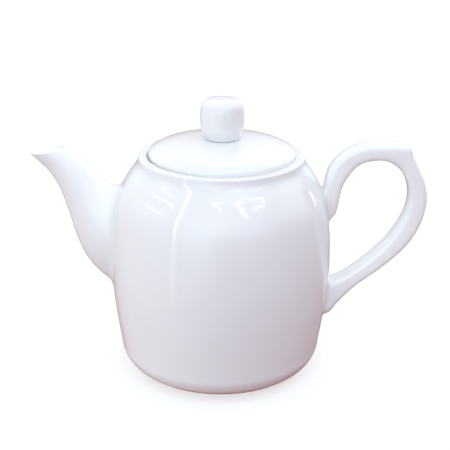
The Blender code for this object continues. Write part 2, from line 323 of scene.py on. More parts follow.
# Gaps between curtains and window bars, which draw the crisp reflections: azimuth and elevation of one end and
# of the other as seen from the pot, and the width, all in degrees, then the radiance.
STREAKS = {
    "tall gap": (-49, 50, -48, -3, 3.0, 2.9),
    "tall gap, lower": (-48, -3, -49, -28, 6.0, 0.7),
    "upper rail": (-90, 34, -65, 39, 0.8, 1.6),
    "lower rail": (-92, 27, -60, 33, 1.2, 3.0),
    "low rail": (-95, 20, -70, 24, 1.4, 2.2),
    "small pane, top": (-13.5, 47.5, 4, 48.5, 1.8, 5.0),
    "small pane, bottom": (-13.5, 47.5, 0, 41, 1.5, 4.6),
    "wide pane, top": (20, 45, 36, 48.5, 2.4, 3.4),
    "wide pane, bottom": (20, 45, 33, 34, 2.6, 3.8),
    "bars, top": (42, 46.5, 62, 42, 1.4, 2.6),
    "bars, middle": (48, 42, 60, 39, 1.3, 2.6),
    "bars, bottom": (42, 38, 56, 36, 1.4, 2.8),
    "bars, side": (62, 42, 57, 35, 1.8, 2.6),
    "far gap": (122, 0, 130, 18, 3.0, 1.2),
    "back rail": (150, 53, 190, 56, 1.8, 2.0),
}
STREAK_DISTANCE = 1.6  # metres
STREAK_AIM = 95.0  # height of the point that they face
# Soft-edged patches of window light on one piece alone: the piece, the patch's middle in millimetres right of
# and above the pot's foot, its radius, the azimuth and elevation it comes from, and how much it adds.
PATCHES = {
    "light on handle": ("glazed_handle", (64, 72), 54, (-8, 0), 0.38),
    "light on spout": ("glazed_spout", (-78, 100), 60, (35, 24), 0.17),
}
PATCH_DISTANCE = 0.6  # metres
PATCH_SOFTNESS = 0.06
PATCH_COLOUR = (0.88, 1.0, 1.04)
GLOW_PLACE = (-85.5, 115.0)  # in the spout's bore, behind the mouth, where light comes through the thin wall
GLOW_POWER = 1.6e-4
GLOW_SIZE = 1.5


# ================================================================ outlines
def arc(centre, radius, start, end, steps):
    """Points on an arc in the (radius, height) plane, with angles in degrees from outwards."""
    angles = np.radians(np.linspace(start, end, steps + 1))
    return [(centre[0] + radius * math.cos(a), centre[1] + radius * math.sin(a)) for a in angles]


def mix(p, q, t, start, end):
    """The point on the line from p, at start, to q, at end."""
    return p + (q - p) * (t - start) / (end - start)


def curve_through(rows, per_span):
    """A smooth curve through every row of numbers, as a centripetal Catmull-Rom spline."""
    rows = np.array(rows, float)
    rows = np.vstack([2 * rows[0] - rows[1], rows, 2 * rows[-1] - rows[-2]])
    out = []
    for four in zip(rows, rows[1:], rows[2:], rows[3:]):
        spans = [math.sqrt(np.linalg.norm(q - p)) for p, q in zip(four, four[1:])]
        knots = np.cumsum([0.0] + spans)
        for t in np.linspace(knots[1], knots[2], per_span, endpoint=False):
            first = [mix(four[i], four[i + 1], t, knots[i], knots[i + 1]) for i in range(3)]
            second = [mix(first[i], first[i + 1], t, knots[i], knots[i + 2]) for i in range(2)]
            out.append(mix(second[0], second[1], t, knots[1], knots[2]))
    out.append(rows[-2])
    return out


def thinned(points, gap):
    """The points with any that come closer than gap to the one before left out."""
    kept = [points[0]]
    for point in points[1:]:
        if math.dist(point, kept[-1]) >= gap:
            kept.append(point)
    return kept


def pot_outline():
    """The pot's outline, from the middle of its floor up inside, over the rim and down to its underside."""
    floor_radius = INSIDE[0][0] - FLOOR_ROUND_REACH * FLOOR_ROUND
    floor = [(r, FLOOR) for r in np.linspace(0.0, floor_radius, FLOOR_RINGS, endpoint=False)]
    floor += arc((floor_radius, FLOOR + FLOOR_ROUND), FLOOR_ROUND, -90, -10, 14)
    wall = [tuple(p) for p in curve_through(INSIDE, INSIDE_STEPS)]
    throat = [(THROAT_RADIUS + THROAT_BEVEL[0], THROAT_LOW - THROAT_BEVEL[1])]
    throat += arc((THROAT_RADIUS + THROAT_ROUND, THROAT_LOW + THROAT_ROUND / 2), THROAT_ROUND, 240, 180, 4)
    throat += arc((THROAT_RADIUS + THROAT_ROUND, SEAT - THROAT_ROUND), THROAT_ROUND, 180, 90, 5)
    seat = arc((GALLERY_RADIUS - SEAT_CORNER, SEAT + SEAT_CORNER), SEAT_CORNER, -90, 0, 5)
    rim = arc((GALLERY_RADIUS + GALLERY_ROUND, RIM_TOP - GALLERY_ROUND), GALLERY_ROUND, 180, 90, 7)
    rim += arc((RIM_RADIUS - RIM_ROUND, RIM_TOP - RIM_ROUND), RIM_ROUND, 90, 0, 8)
    rim += [(RIM_RADIUS + RIM_BEAD_FLARE * share, RIM_TOP - RIM_BEAD * share) for share in RIM_BEAD_SHARES]
    corner_radius = BELLY_SIDE[-1][0] - FOOT_CORNER
    corner = arc((corner_radius, FOOT_CORNER), FOOT_CORNER, 0, FOOT_CORNER_END, 3)[1:]
    side = [tuple(p) for p in curve_through(BELLY_SIDE + tuple(corner), SIDE_STEPS)]
    hollow = (FOOT_OUTER + FOOT_DRAFT + FOOT_HOLLOW, FOOT_HEIGHT + FOOT_HOLLOW_RISE)
    foot = arc(hollow, FOOT_HOLLOW, 120, 180, 4)
    foot += arc((FOOT_OUTER - FOOT_ROUND, FOOT_ROUND), FOOT_ROUND, 0, -90, 6)
    foot += arc((FOOT_INNER + FOOT_ROUND, FOOT_ROUND), FOOT_ROUND, -90, -180, 6)
    recess = (FOOT_INNER - FOOT_DRAFT - UNDERSIDE_ROUND, UNDERSIDE - UNDERSIDE_ROUND)
    under = arc(recess, UNDERSIDE_ROUND, 0, 90, 5)
    under_radii = np.linspace(FOOT_INNER - UNDERSIDE_MARGIN, 0.0, UNDERSIDE_RINGS)
    under += [(r, UNDERSIDE) for r in under_radii]
    return thinned(floor + wall + throat + seat + rim + side + foot + under, SMALLEST_STEP)


def dome_height(radius):
    """The height of the lid's top at a radius."""
    share = max(radius, LID_FLAT) / LID_RADIUS
    return LID_EDGE_TOP + (LID_CROWN - LID_EDGE_TOP) * math.sqrt(max(0.0, 1 - share**LID_FULLNESS))


def lid_outline():
    """The lid's outline, from the crown out over the dome, round the edge and skirt and back inside."""
    start = math.asin((LID_FLAT / LID_RADIUS) ** (LID_FULLNESS / 2))
    crest = [(r, dome_height(0.0)) for r in np.linspace(0.0, LID_FLAT, CROWN_RINGS, endpoint=False)]
    for turn in np.linspace(start, math.pi / 2, DOME_RINGS):
        radius = LID_RADIUS * math.sin(turn) ** (2 / LID_FULLNESS)
        crease = math.exp(-(((radius - LID_CREASE_RADIUS) / LID_CREASE_WIDTH) ** 2))
        crest.append((radius, dome_height(radius) - LID_CREASE_DEPTH * crease))
    round_mid = (LID_RADIUS - LID_EDGE_ROUND, LID_SEAT + LID_EDGE_ROUND)
    flange = arc(round_mid, LID_EDGE_ROUND, 0, -90, 6)
    flange += arc((SKIRT_OUTER + SKIRT_CORNER, LID_SEAT - SKIRT_CORNER), SKIRT_CORNER, 90, 180, 5)
    half = (SKIRT_OUTER - SKIRT_INNER) / 2
    skirt = arc((SKIRT_INNER + half, SKIRT_LOW + half), half, 0, -180, 14)
    skirt_top = dome_height(SKIRT_INNER) - LID_THICK - LID_INSIDE_ROUND
    skirt += [(SKIRT_INNER, z) for z in np.linspace(SKIRT_LOW + SKIRT_STRAIGHT, skirt_top, SKIRT_RINGS)]
    skirt += arc((SKIRT_INNER - LID_INSIDE_ROUND, skirt_top), LID_INSIDE_ROUND, 0, 80, 6)
    inside_radii = np.linspace(SKIRT_INNER - LID_INSIDE_MARGIN, 0.0, LID_INSIDE_RINGS)
    inside = [(r, dome_height(r) - LID_THICK) for r in inside_radii]
    return thinned(crest + flange + skirt + inside, SMALLEST_STEP)


def knob_outline():
    """The knob's outline, from the middle of its top to the middle of its base."""
    side = [tuple(p) for p in curve_through(KNOB_CROWN + KNOB_SIDE, KNOB_STEPS)]
    return thinned(side + [(r, KNOB_BOTTOM) for r in KNOB_BASE_RADII], SMALLEST_STEP)


# ================================================================ meshes
def new_object(name, data):
    """An object that is in the scene."""
    obj = bpy.data.objects.new(name, data)
    bpy.context.scene.collection.objects.link(obj)
    return obj


def mesh_from(name, shape):
    """A bmesh made into a mesh, and freed."""
    mesh = bpy.data.meshes.new(name)
    shape.to_mesh(mesh)
    shape.free()
    return mesh


def add_piece(name, mesh, body, nodes):
    """An object that rides on a body and stands for CAD nodes, which are hidden."""
    obj = new_object(name, mesh)
    mesh.shade_smooth()
    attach(obj, body)
    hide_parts(*nodes)
    return obj


def turned_mesh(name, outline, axis):
    """A closed turned mesh: the outline starts and ends on the axis."""
    angles = np.linspace(0, math.tau, TURNED_STEPS, endpoint=False)
    shape = bmesh.new()
    start = shape.verts.new((axis[0], axis[1], outline[0][1] * MM))
    rows = []
    for radius, height in outline[1:-1]:
        reach = radius * MM
        rows.append([
            shape.verts.new((axis[0] + reach * math.cos(a), axis[1] + reach * math.sin(a), height * MM))
            for a in angles
        ])
    end = shape.verts.new((axis[0], axis[1], outline[-1][1] * MM))
    for i in range(TURNED_STEPS):
        j = (i + 1) % TURNED_STEPS
        shape.faces.new((start, rows[0][i], rows[0][j]))
        shape.faces.new((end, rows[-1][j], rows[-1][i]))
        for a, b in zip(rows, rows[1:]):
            shape.faces.new((a[i], b[i], b[j], a[j]))
    bmesh.ops.recalc_face_normals(shape, faces=shape.faces)
    return mesh_from(name, shape)


def section(station, sides, towards, power=2.0, inset=0.0):
    """A ring of points: an oval between a station's two edges, drawn in by inset all round.

    towards is -1 for the spout's side of the pot and 1 for the handle's. power 2 makes an ellipse.
    """
    first, second = np.array(station[0:2]), np.array(station[2:4])
    middle, reach = (first + second) / 2, (first - second) / 2
    reach = reach * (1 - inset / np.linalg.norm(reach))
    half_width = station[4] - inset
    turns = np.linspace(0, math.tau, sides, endpoint=False)
    along = np.sign(np.cos(turns)) * np.abs(np.cos(turns)) ** (2 / power)
    across = np.sign(np.sin(turns)) * np.abs(np.sin(turns)) ** (2 / power)
    flat = middle[None, :] + reach[None, :] * along[:, None]
    return np.stack([towards * flat[:, 0], half_width * across, flat[:, 1]], axis=1)


# Heights and radii of the pot's side from the bottom up, for its spout and handle to land on.
POT_SIDE = np.array(sorted((z, r) for r, z in curve_through(BELLY_SIDE, ROOT_SIDE_STEPS)))


def pot_radius(height):
    """The pot's outside radius at a height."""
    return np.interp(height, POT_SIDE[:, 0], POT_SIDE[:, 1])


def height_above_pot(points):
    """How far points (millimetres from the pot's axis) stand outside the pot's side, measured level."""
    return np.hypot(points[..., 0], points[..., 1]) - pot_radius(points[..., 2])


def on_pot(points, lift):
    """The points moved level onto the pot's side, and lift millimetres out of it."""
    out = points.copy()
    scale = (pot_radius(points[:, 2]) + lift) / np.hypot(points[:, 0], points[:, 1])
    out[:, 0] *= scale
    out[:, 1] *= scale
    return out


def pot_normal(points):
    """The outward directions of the pot's side at points on it."""
    slope = pot_radius(points[:, 2] + 0.5) - pot_radius(points[:, 2] - 0.5)
    level = points[:, :2] / np.hypot(points[:, 0], points[:, 1])[:, None]
    normal = np.column_stack([level, -slope])
    return normal / np.linalg.norm(normal, axis=1)[:, None]


def line_lengths(rings):
    """How far along its line, from ring to ring, each point of rings (count, sides, 3) is."""
    lengths = np.zeros(rings.shape[:2])
    lengths[1:] = np.cumsum(np.linalg.norm(np.diff(rings, axis=0), axis=2), axis=0)
    return lengths


def along_line(rings, lengths, distance):
    """The point of each line at a given distance along it."""
    out = np.empty((rings.shape[1], 3))
    for i in range(rings.shape[1]):
        for axis in range(3):
            out[i, axis] = np.interp(distance[i], lengths[:, i], rings[:, i, axis])
    return out


def last_inside(above, i, depth):
    """The last ring whose point i is deeper than this in the pot, and the share of the way on to the next."""
    k = np.nonzero(above[:, i] < -depth)[0][-1]
    return k, (-depth - above[k, i]) / (above[k + 1, i] - above[k, i])


def rooted(rings, fillet):
    """Rings that run into the pot, with the hidden end replaced by a fillet that flares onto its side.

    rings is (count, sides, 3), from inside the pot outwards. The result starts with a ring sunk in the wall.
    """
    above = height_above_pot(rings)
    lengths = line_lengths(rings)
    sides = rings.shape[1]
    crossing = np.empty(sides)
    for i in range(sides):
        k, share = last_inside(above, i, 0.0)
        crossing[i] = lengths[k, i] + share * (lengths[k + 1, i] - lengths[k, i])
    meet = along_line(rings, lengths, crossing)
    leave = along_line(rings, lengths, crossing + fillet)
    ring_way = np.roll(meet, -1, axis=0) - np.roll(meet, 1, axis=0)
    normal = pot_normal(meet)
    away = np.cross(ring_way, normal)
    away /= np.linalg.norm(away, axis=1)[:, None]
    centre = meet.mean(axis=0)
    if np.mean(np.sum(away * (meet - centre), axis=1)) < 0:
        away = -away
    land = on_pot(meet + away * fillet, 0.0)
    hem = on_pot(meet + away * (fillet + FLARE_HEM), -FLARE_HEM_DEPTH)
    flare = [on_pot(meet, -ROOT_SUNK), hem]
    for t in np.linspace(0, 1, FLARE_STEPS + 1):
        flare.append(land * (1 - t) ** 2 + meet * 2 * t * (1 - t) + leave * t**2)
    start = max(np.nonzero(lengths[:, i] > crossing[i] + fillet)[0][0] for i in range(sides))
    bridge = []
    for k in range(1, BRIDGE_STEPS + 1):
        distance = (crossing + fillet) + (lengths[start] - crossing - fillet) * k / BRIDGE_STEPS
        bridge.append(along_line(rings, lengths, distance))
    return np.concatenate([np.array(flare), np.array(bridge), rings[start + 1:]])


def shortened(rings, amount):
    """Rings whose last ones close up, so that each line along the tube ends the given amount sooner."""
    lengths = line_lengths(rings)
    start = lengths[-1] - LIP_BLEND
    beyond = np.clip(lengths - start, 0, None)
    new = lengths - beyond * amount / LIP_BLEND
    return np.array([along_line(rings, lengths, row) for row in new])


def lofted_mesh(name, rings, closed):
    """A tube through rings (count, sides, 3) in millimetres from the pot's axis, joined up or capped."""
    shape = bmesh.new()
    rows = []
    for ring in rings:
        rows.append([shape.verts.new((POT_X + p[0] * MM, POT_Y + p[1] * MM, p[2] * MM)) for p in ring])
    sides = len(rows[0])
    pairs = list(zip(rows, rows[1:])) + ([(rows[-1], rows[0])] if closed else [])
    for a, b in pairs:
        for i in range(sides):
            j = (i + 1) % sides
            shape.faces.new((a[i], a[j], b[j], b[i]))
    if not closed:
        shape.faces.new(rows[0])
        shape.faces.new(rows[-1])
    bmesh.ops.recalc_face_normals(shape, faces=shape.faces)
    return mesh_from(name, shape)


def cut_with_rods(obj, centres, radius, length, tilt):
    """Round holes through an object, tilted from upright towards +X by degrees, with the modifier applied."""
    shape = bmesh.new()
    turn = Matrix.Rotation(math.radians(tilt), 4, "Y")
    for centre in centres:
        bmesh.ops.create_cone(
            shape, cap_ends=True, segments=ROD_SIDES, depth=length * MM,
            radius1=radius * MM, radius2=radius * MM,
            matrix=Matrix.Translation(centre) @ turn,
        )
    cutter = new_object("rods", mesh_from("rods", shape))
    boolean = obj.modifiers.new("Holes", "BOOLEAN")
    boolean.solver = "EXACT"
    boolean.object = cutter
    graph = bpy.context.evaluated_depsgraph_get()
    cut = bpy.data.meshes.new_from_object(obj.evaluated_get(graph))
    obj.modifiers.clear()
    obj.data = cut
    bpy.data.objects.remove(cutter, do_unlink=True)


def make_wavy(obj, seed):
    """The slight unevenness of a hand-finished cast surface."""
    mesh = obj.data
    places = np.empty(len(mesh.vertices) * 3)
    normals = np.empty(len(mesh.vertices) * 3)
    mesh.vertices.foreach_get("co", places)
    mesh.vertices.foreach_get("normal", normals)
    places, normals = places.reshape(-1, 3), normals.reshape(-1, 3)
    offset = Vector((seed, seed * 2.0, seed * 3.0))
    waves = np.array([noise.noise(Vector(p) + offset) for p in places / (WAVE_SIZE * MM)])
    places += normals * (WAVE_DEPTH * MM * waves)[:, None]
    mesh.vertices.foreach_set("co", places.ravel())
    mesh.update()


# ================================================================ materials
def add_node(tree, kind, **settings):
    """A new node with the given properties."""
    node = tree.nodes.new(kind)
    for key, value in settings.items():
        setattr(node, key, value)
    return node


def noise_at(tree, where, size_mm, detail=2.0, roughness=0.5, distortion=0.0):
    """A noise from 0 to 1 whose blotches are about size_mm across."""
    node = add_node(tree, "ShaderNodeTexNoise")
    tree.links.new(where, node.inputs["Vector"])
    node.inputs["Scale"].default_value = 1.0 / (size_mm * MM)
    node.inputs["Detail"].default_value = detail
    node.inputs["Roughness"].default_value = roughness
    node.inputs["Distortion"].default_value = distortion
    return node.outputs["Fac"]


def spread(tree, value, low, high, to_low, to_high):
    """A value's range from low to high mapped smoothly onto another range."""
    node = add_node(tree, "ShaderNodeMapRange", interpolation_type="SMOOTHSTEP", clamp=True)
    tree.links.new(value, node.inputs["Value"])
    for key, number in (("From Min", low), ("From Max", high), ("To Min", to_low), ("To Max", to_high)):
        node.inputs[key].default_value = number
    return node.outputs["Result"]


def combine(tree, how, first, second):
    """Two values put together by a Math node. Either may be a socket or a number."""
    node = add_node(tree, "ShaderNodeMath", operation=how)
    for slot, value in zip(node.inputs, (first, second)):
        if isinstance(value, (int, float)):
            slot.default_value = value
        else:
            tree.links.new(value, slot)
    return node.outputs["Value"]


def tint(tree, colour, target, share):
    """A colour moved towards a target colour by a share socket."""
    node = add_node(tree, "ShaderNodeMix", data_type="RGBA")
    tree.links.new(share, node.inputs["Factor"])
    tree.links.new(colour, node.inputs["A"])
    node.inputs["B"].default_value = (*target, 1.0)
    return node.outputs["Result"]


def glaze_material():
    """White porcelain under a clear glaze.

    Three numbers are stored on the meshes: "bare" is 1 on the unglazed foot and lid seat, "pooled_and_shaded"
    is 1 in the creases, where glaze runs together and painted shade makes them a little deeper and bluer, and
    "painted_bore_light" is 1 inside the spout, painted whiter there as painted light for the glow through its
    thin wall.
    """
    material = bpy.data.materials.new("white_glaze")
    material.use_nodes = True
    tree = material.node_tree
    shader = tree.nodes["Principled BSDF"]
    where = add_node(tree, "ShaderNodeTexCoord").outputs["Object"]
    bare = add_node(tree, "ShaderNodeAttribute", attribute_name="bare").outputs["Fac"]
    pooled_and_shaded = add_node(tree, "ShaderNodeAttribute", attribute_name="pooled_and_shaded").outputs["Fac"]
    painted_bore_light = add_node(tree, "ShaderNodeAttribute", attribute_name="painted_bore_light").outputs["Fac"]

    ragged = combine(tree, "MULTIPLY", noise_at(tree, where, *RAGGED_NOISE), RAGGED)
    bare = spread(tree, combine(tree, "ADD", bare, ragged), *BARE_SPREAD)

    base = add_node(tree, "ShaderNodeRGB")
    base.outputs["Color"].default_value = (*GLAZE, 1.0)
    cloud = spread(tree, noise_at(tree, where, *CLOUD_NOISE), *CLOUD_SPREAD)
    colour = tint(tree, base.outputs["Color"], GLAZE_THIN, cloud)
    mottle = spread(tree, noise_at(tree, where, *MOTTLE_NOISE), *MOTTLE_SPREAD)
    colour = tint(tree, colour, GLAZE_DEEP, mottle)
    # pooled glaze and painted shade: the creases darker and bluer
    colour = tint(tree, colour, GLAZE_POOLED_AND_SHADED, pooled_and_shaded)
    # painted light: the spout's lip and bore whiter
    colour = tint(tree, colour, GLAZE_PAINTED_BORE_LIGHT, painted_bore_light)
    speck = add_node(tree, "ShaderNodeTexVoronoi", feature="F1")
    tree.links.new(where, speck.inputs["Vector"])
    speck.inputs["Scale"].default_value = 1.0 / (SPECK_SPACING * MM)
    near = spread(tree, speck.outputs["Distance"], *SPECK_SPREAD)
    chosen = spread(tree, noise_at(tree, where, *SPECK_NOISE), *CHOSEN_SPREAD)
    specks = combine(tree, "MULTIPLY", near, chosen)
    colour = tint(tree, colour, SPECK_COLOUR, specks)
    grain = spread(tree, noise_at(tree, where, *GRAIN_NOISE), *GRAIN_SPREAD)
    clay = tint(tree, base.outputs["Color"], BARE_CLAY, spread(tree, grain, *CLAY_SPREAD))
    mixed = add_node(tree, "ShaderNodeMix", data_type="RGBA")
    tree.links.new(bare, mixed.inputs["Factor"])
    tree.links.new(colour, mixed.inputs["A"])
    tree.links.new(clay, mixed.inputs["B"])
    tree.links.new(mixed.outputs["Result"], shader.inputs["Base Color"])

    smear = spread(tree, noise_at(tree, where, *SMEAR_NOISE), *SMEAR_SPREAD)
    rough = combine(tree, "MAXIMUM", smear, combine(tree, "MULTIPLY", bare, BARE_ROUGHNESS))
    tree.links.new(rough, shader.inputs["Roughness"])
    coat = combine(tree, "MULTIPLY", combine(tree, "SUBTRACT", 1.0, bare), COAT_WEIGHT)
    tree.links.new(coat, shader.inputs["Coat Weight"])
    shader.inputs["Coat Roughness"].default_value = COAT_ROUGHNESS
    shader.inputs["Coat IOR"].default_value = COAT_IOR
    shader.inputs["IOR"].default_value = GLAZE_IOR
    shader.inputs["Subsurface Weight"].default_value = SUBSURFACE
    shader.inputs["Subsurface Radius"].default_value = SUBSURFACE_RADIUS
    shader.inputs["Subsurface Scale"].default_value = SUBSURFACE_SCALE * MM

    peel = combine(tree, "MULTIPLY", noise_at(tree, where, *PEEL_NOISE), PEEL_DEPTH * MM)
    swell = combine(tree, "MULTIPLY", noise_at(tree, where, *SWELL_NOISE), SWELL_DEPTH * MM)
    pits = combine(tree, "MULTIPLY", specks, -PIT_DEPTH * MM)
    gritty = combine(tree, "MULTIPLY", combine(tree, "MULTIPLY", grain, bare), BARE_DEPTH * MM)
    height = combine(tree, "ADD", combine(tree, "ADD", peel, swell), combine(tree, "ADD", pits, gritty))
    bump = add_node(tree, "ShaderNodeBump")
    bump.inputs["Strength"].default_value = 1.0
    bump.inputs["Distance"].default_value = 1.0
    tree.links.new(height, bump.inputs["Height"])
    tree.links.new(bump.outputs["Normal"], shader.inputs["Normal"])
    tree.links.new(bump.outputs["Normal"], shader.inputs["Coat Normal"])
    return material


def floor_material():
    """A white sweep with a soft shadow under the pot.

    Only the camera's rays meet it. To all others it is clear, so that it throws no white light up at the pot,
    whose lower half keeps its own shade.
    """
    material = bpy.data.materials.new("studio_floor")
    material.use_nodes = True
    tree = material.node_tree
    tree.nodes.clear()
    seen = add_node(tree, "ShaderNodeLightPath").outputs["Is Camera Ray"]
    white = add_node(tree, "ShaderNodeBsdfDiffuse")
    white.inputs["Color"].default_value = (*FLOOR_SEEN, 1.0)
    lift = add_node(tree, "ShaderNodeEmission")
    lift.inputs["Color"].default_value = (*FLOOR_LIFT, 1.0)
    lit = add_node(tree, "ShaderNodeAddShader")
    tree.links.new(white.outputs["BSDF"], lit.inputs[0])
    tree.links.new(lift.outputs["Emission"], lit.inputs[1])
    gone = add_node(tree, "ShaderNodeBsdfTransparent")
    chosen = add_node(tree, "ShaderNodeMixShader")
    tree.links.new(seen, chosen.inputs["Fac"])
    tree.links.new(gone.outputs["BSDF"], chosen.inputs[1])
    tree.links.new(lit.outputs["Shader"], chosen.inputs[2])
    out = add_node(tree, "ShaderNodeOutputMaterial")
    tree.links.new(chosen.outputs["Shader"], out.inputs["Surface"])
    return material


# ================================================================ stored numbers
def store(obj, name, values):
    """A number for every point of an object's mesh."""
    layer = obj.data.attributes.new(name, "FLOAT", "POINT")
    layer.data.foreach_set("value", np.asarray(values, dtype=np.float32))


def points_of(obj):
    """The mesh's points in millimetres from the pot's axis."""
    flat = np.empty(len(obj.data.vertices) * 3, dtype=np.float32)
    obj.data.vertices.foreach_get("co", flat)
    return (flat.reshape(-1, 3).astype(float) - np.array([POT_X, POT_Y, 0.0])) / MM


def pool_and_shade_in(bands, values):
    """How much glaze pools, and painted shade darkens, at each height or radius, from bands of how much,
    middle and width.
    """
    return sum(amount * np.exp(-(((values - middle) / width) ** 2)) for amount, middle, width in bands)


def finish_piece(piece, material, bare, pooled_and_shaded):
    """The material, and the numbers that it reads from every piece."""
    piece.data.materials.append(material)
    store(piece, "bare", bare)
    store(piece, "pooled_and_shaded", pooled_and_shaded)


# ================================================================ pieces
def make_pot(material, roots):
    """The pot, given the points where spout and handle meet it, round which the glaze pools and painted shade
    darkens it.
    """
    mesh = turned_mesh("glazed_pot", pot_outline(), (POT_X, POT_Y))
    pot = add_piece("glazed_pot", mesh, "pot", ["pot_body"])
    centres = [(POT_X - BELLY * MM, POT_Y, STRAINER_HEIGHT * MM)]
    for k in range(STRAINER_RING):
        angle = math.radians(360 / STRAINER_RING * k + STRAINER_TURN)
        side, up = STRAINER_PITCH * math.cos(angle), STRAINER_PITCH * math.sin(angle)
        centres.append((POT_X - BELLY * MM, POT_Y + side * MM, (STRAINER_HEIGHT + up) * MM))
    cut_with_rods(pot, centres, STRAINER_HOLE, STRAINER_LENGTH, 90)
    make_wavy(pot, WAVE_SEEDS["pot"])
    points = points_of(pot)
    radius, height = np.hypot(points[:, 0], points[:, 1]), points[:, 2]
    foot = (height < BARE_FOOT) & (radius > FOOT_INNER - BARE_FOOT_MARGIN)
    seat = np.abs(height - SEAT) < BARE_SEAT
    seat &= (radius < GALLERY_RADIUS - BARE_SEAT_MARGIN) & (radius > THROAT_RADIUS - BARE_THROAT_MARGIN)
    tree = KDTree(len(roots))
    for i, point in enumerate(roots):
        tree.insert(point, i)
    tree.balance()
    to_root = np.array([tree.find(point)[2] for point in points])
    on_side = radius > pot_radius(height) - OUTSIDE_MARGIN
    # pooled glaze and painted shade: the crease under the rim bead and the hollow above the foot darker
    pooled_and_shaded = pool_and_shade_in(POT_POOL_AND_SHADE_BANDS, height) * (radius > GALLERY_RADIUS + OUTSIDE_MARGIN)
    # and round the roots of spout and handle
    pooled_and_shaded += POOL_AND_SHADE_ON_POT * np.exp(-to_root / POOL_AND_SHADE_REACH) * on_side
    finish_piece(pot, material, foot | seat, np.clip(pooled_and_shaded, 0.0, 1.0))


def make_spout(material):
    """The spout: a hollow tube with a rounded lip. It returns the points where it lands on the pot."""
    stations = curve_through(SPOUT_STATIONS, TUBE_STEPS)
    walls = np.linspace(SPOUT_WALL_ROOT, SPOUT_WALL_MOUTH, len(stations))
    outer = np.array([section(s, SPOUT_SIDES, -1) for s in stations])
    inner = np.array([section(s, SPOUT_SIDES, -1, inset=w) for s, w in zip(stations, walls)])
    outside = rooted(outer, SPOUT_FILLET)
    above = height_above_pot(inner)
    start = max(np.nonzero(above[:, i] < 0)[0][-1] for i in range(SPOUT_SIDES)) + 1
    bore_root = np.empty((SPOUT_SIDES, 3))
    for i in range(SPOUT_SIDES):
        k, share = last_inside(above, i, ROOT_SUNK)
        bore_root[i] = inner[k, i] + share * (inner[k + 1, i] - inner[k, i])
    shares = np.linspace(0, 1, BORE_STEPS, endpoint=False)
    bore = np.array([bore_root + (inner[start] - bore_root) * t for t in shares])
    bore = np.concatenate([bore, inner[start:]])
    lip_reach = np.linalg.norm(outer[-1] - inner[-1], axis=1) / 2
    onward = outer[-1] - outer[-3]
    onward /= np.linalg.norm(onward, axis=1)[:, None]
    outside = shortened(outside, lip_reach)
    bore = shortened(bore, lip_reach)
    middle, half = (outside[-1] + bore[-1]) / 2, (outside[-1] - bore[-1]) / 2
    turns = np.linspace(0, math.pi, LIP_STEPS)[1:-1]
    lip = [middle + half * math.cos(t) + onward * lip_reach[:, None] * math.sin(t) for t in turns]
    rings = np.concatenate([outside, np.array(lip), bore[::-1]])
    spout = add_piece("glazed_spout", lofted_mesh("glazed_spout", rings, True), "pot", ["spout"])
    make_wavy(spout, WAVE_SEEDS["spout"])
    above = height_above_pot(points_of(spout))
    # pooled glaze and painted shade round the spout's root
    finish_piece(spout, material, np.zeros(len(above)), POOL_AND_SHADE_ON_ROOT * np.exp(-np.abs(above) / POOL_AND_SHADE_REACH))
    # painted light: the lip and the bore painted whiter
    store(spout, "painted_bore_light", np.arange(len(above)) >= len(outside) * SPOUT_SIDES)
    return outside[FLARE_LAND]


def make_handle(material):
    """The handle, which returns the points where its two roots land on the pot."""
    stations = curve_through(HANDLE_STATIONS, TUBE_STEPS)
    rings = np.array([section(s, HANDLE_SIDES, 1, power=HANDLE_OVAL) for s in stations])
    half = len(rings) // 2
    upper = rooted(rings[:half + 1], HANDLE_FILLET)
    lower = rooted(rings[half + 1:][::-1], HANDLE_FILLET)
    rings = np.concatenate([upper, lower[::-1]])
    handle = add_piece("glazed_handle", lofted_mesh("glazed_handle", rings, False), "pot", ["handle"])
    make_wavy(handle, WAVE_SEEDS["handle"])
    above = height_above_pot(points_of(handle))
    # pooled glaze and painted shade round the handle's roots
    finish_piece(handle, material, np.zeros(len(above)), POOL_AND_SHADE_ON_ROOT * np.exp(-np.abs(above) / POOL_AND_SHADE_REACH))
    return np.concatenate([upper[FLARE_LAND], lower[FLARE_LAND]])


def make_lid(material):
    """The lid, with its steam vent."""
    mesh = turned_mesh("glazed_lid", lid_outline(), (LID_X, LID_Y))
    lid = add_piece("glazed_lid", mesh, "lid", ["lid"])
    cut_with_rods(lid, [(LID_X, LID_Y + VENT_FROM_AXIS * MM, LID_CROWN * MM)], VENT_RADIUS, VENT_LENGTH, 0)
    make_wavy(lid, WAVE_SEEDS["lid"])
    points = points_of(lid) - np.array([(LID_X - POT_X) / MM, (LID_Y - POT_Y) / MM, 0.0])
    radius, height = np.hypot(points[:, 0], points[:, 1]), points[:, 2]
    rest = (height > LID_SEAT + BARE_REST[0]) & (height < LID_SEAT + BARE_REST[1])
    rest &= radius > SKIRT_OUTER - BARE_REST_MARGIN
    # pooled glaze and painted shade: the crease round the dome and a ring round the knob's base darker
    pooled_and_shaded = pool_and_shade_in(LID_POOL_AND_SHADE_BANDS, radius) * (height > dome_height(0.0) - LID_TOP_DEPTH)
    finish_piece(lid, material, rest, np.clip(pooled_and_shaded, 0.0, 1.0))


def make_knob(material):
    """The knob on the lid's crown."""
    mesh = turned_mesh("glazed_knob", knob_outline(), (LID_X, LID_Y))
    knob = add_piece("glazed_knob", mesh, "lid", ["lid_knob"])
    make_wavy(knob, WAVE_SEEDS["knob"])
    height = points_of(knob)[:, 2]
    # pooled glaze and painted shade at the knob's base, where it meets the lid
    finish_piece(knob, material, np.zeros(len(height)), np.exp(-(height - KNOB_BOTTOM) / KNOB_POOL_AND_SHADE_REACH))


